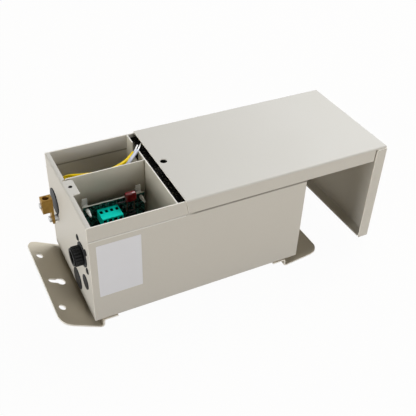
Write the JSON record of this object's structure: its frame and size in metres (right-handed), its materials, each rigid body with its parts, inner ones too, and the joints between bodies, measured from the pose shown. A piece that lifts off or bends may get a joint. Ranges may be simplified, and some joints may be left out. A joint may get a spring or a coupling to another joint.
{
  "type": "wall power supply enclosure",
  "caption": "Sheet-metal wall box with potted transformer, divided wiring bay, mounting ears and a front cover that slides off along the box.",
  "frame": {"origin": "centre of the outer face of the box's back", "axes": "+X along the box, the way the cover opens; +Y across the box, away from the side with the label; +Z from the back to the front cover"},
  "size_m": [0.3417, 0.1282, 0.1219],
  "materials": {
    "box_paint": "satin powder coat with a fine texture",
    "potting_compound": "rough cast compound",
    "laminations": "varnished steel sheets",
    "winding_wire": "enamelled copper wire",
    "nylon": "natural nylon",
    "yellow_insulation": "satin wire insulation",
    "white_insulation": "satin wire insulation",
    "tinned_copper": "tinned",
    "board_laminate": "solder mask",
    "terminal_plastic": "moulded",
    "zinc_plated_steel": "zinc plated",
    "capacitor_dip": "dipped epoxy",
    "resistor_lacquer": "lacquered",
    "capacitor_sleeve": "shrunk sleeve",
    "rectifier_epoxy": "moulded epoxy",
    "lug_brass": "plain cast brass",
    "connector_plastic": "moulded",
    "pin_brass": "plated",
    "seal_rubber": "matte",
    "grey_plug_plastic": "moulded",
    "black_plug_plastic": "moulded",
    "label_film": "printed film, blank"
  },
  "bodies": {
    "box": {"enclosure_shell": "box_paint", "left_end_panel": "box_paint", "right_end_panel": "box_paint", "divider": "box_paint", "transformer_wall": "box_paint", "left_bracket": "box_paint", "right_bracket": "box_paint", "potting": "potting_compound", "transformer_core": "laminations", "primary_winding": "winding_wire", "secondary_winding": "winding_wire", "lead_bushings": "nylon", "yellow_lead": "yellow_insulation", "white_lead": "white_insulation", "stripped_ends": "tinned_copper", "circuit_board": "board_laminate", "board_standoffs": "nylon", "terminal_block": "terminal_plastic", "terminal_screws": "zinc_plated_steel", "terminal_contacts": "tinned_copper", "film_capacitor": "capacitor_dip", "film_capacitor_legs": "tinned_copper", "board_resistors": "resistor_lacquer", "electrolytic_capacitors": "capacitor_sleeve", "bridge_rectifier": "rectifier_epoxy", "earth_lug": "lug_brass", "lug_clamp_screw": "zinc_plated_steel", "lug_mounting_screw": "zinc_plated_steel", "lug_spacer": "zinc_plated_steel", "lug_nut": "zinc_plated_steel", "outlet_housing": "connector_plastic", "outlet_insert": "connector_plastic", "outlet_pins": "pin_brass", "outlet_seal": "seal_rubber", "outlet_rivets": "connector_plastic", "wide_hole_plug": "grey_plug_plastic", "middle_hole_plug": "black_plug_plastic", "narrow_hole_plug": "black_plug_plastic", "blank_label": "label_film"},
    "cover": {"front_cover": "box_paint"},
    "ring": {"coupling_ring": "connector_plastic"}
  },
  "joints": [
    {"name": "cover_slide", "type": "slide", "parent": "box", "child": "cover", "axis": [1, 0, 0], "range_m": [-0.0908, 0.12]},
    {"name": "coupling_ring_turn", "type": "hinge", "parent": "box", "child": "ring", "pos_m": [-0.11395, -0.041, 0.0665], "axis": [1, 0, 0], "continuous": true}
  ]
}
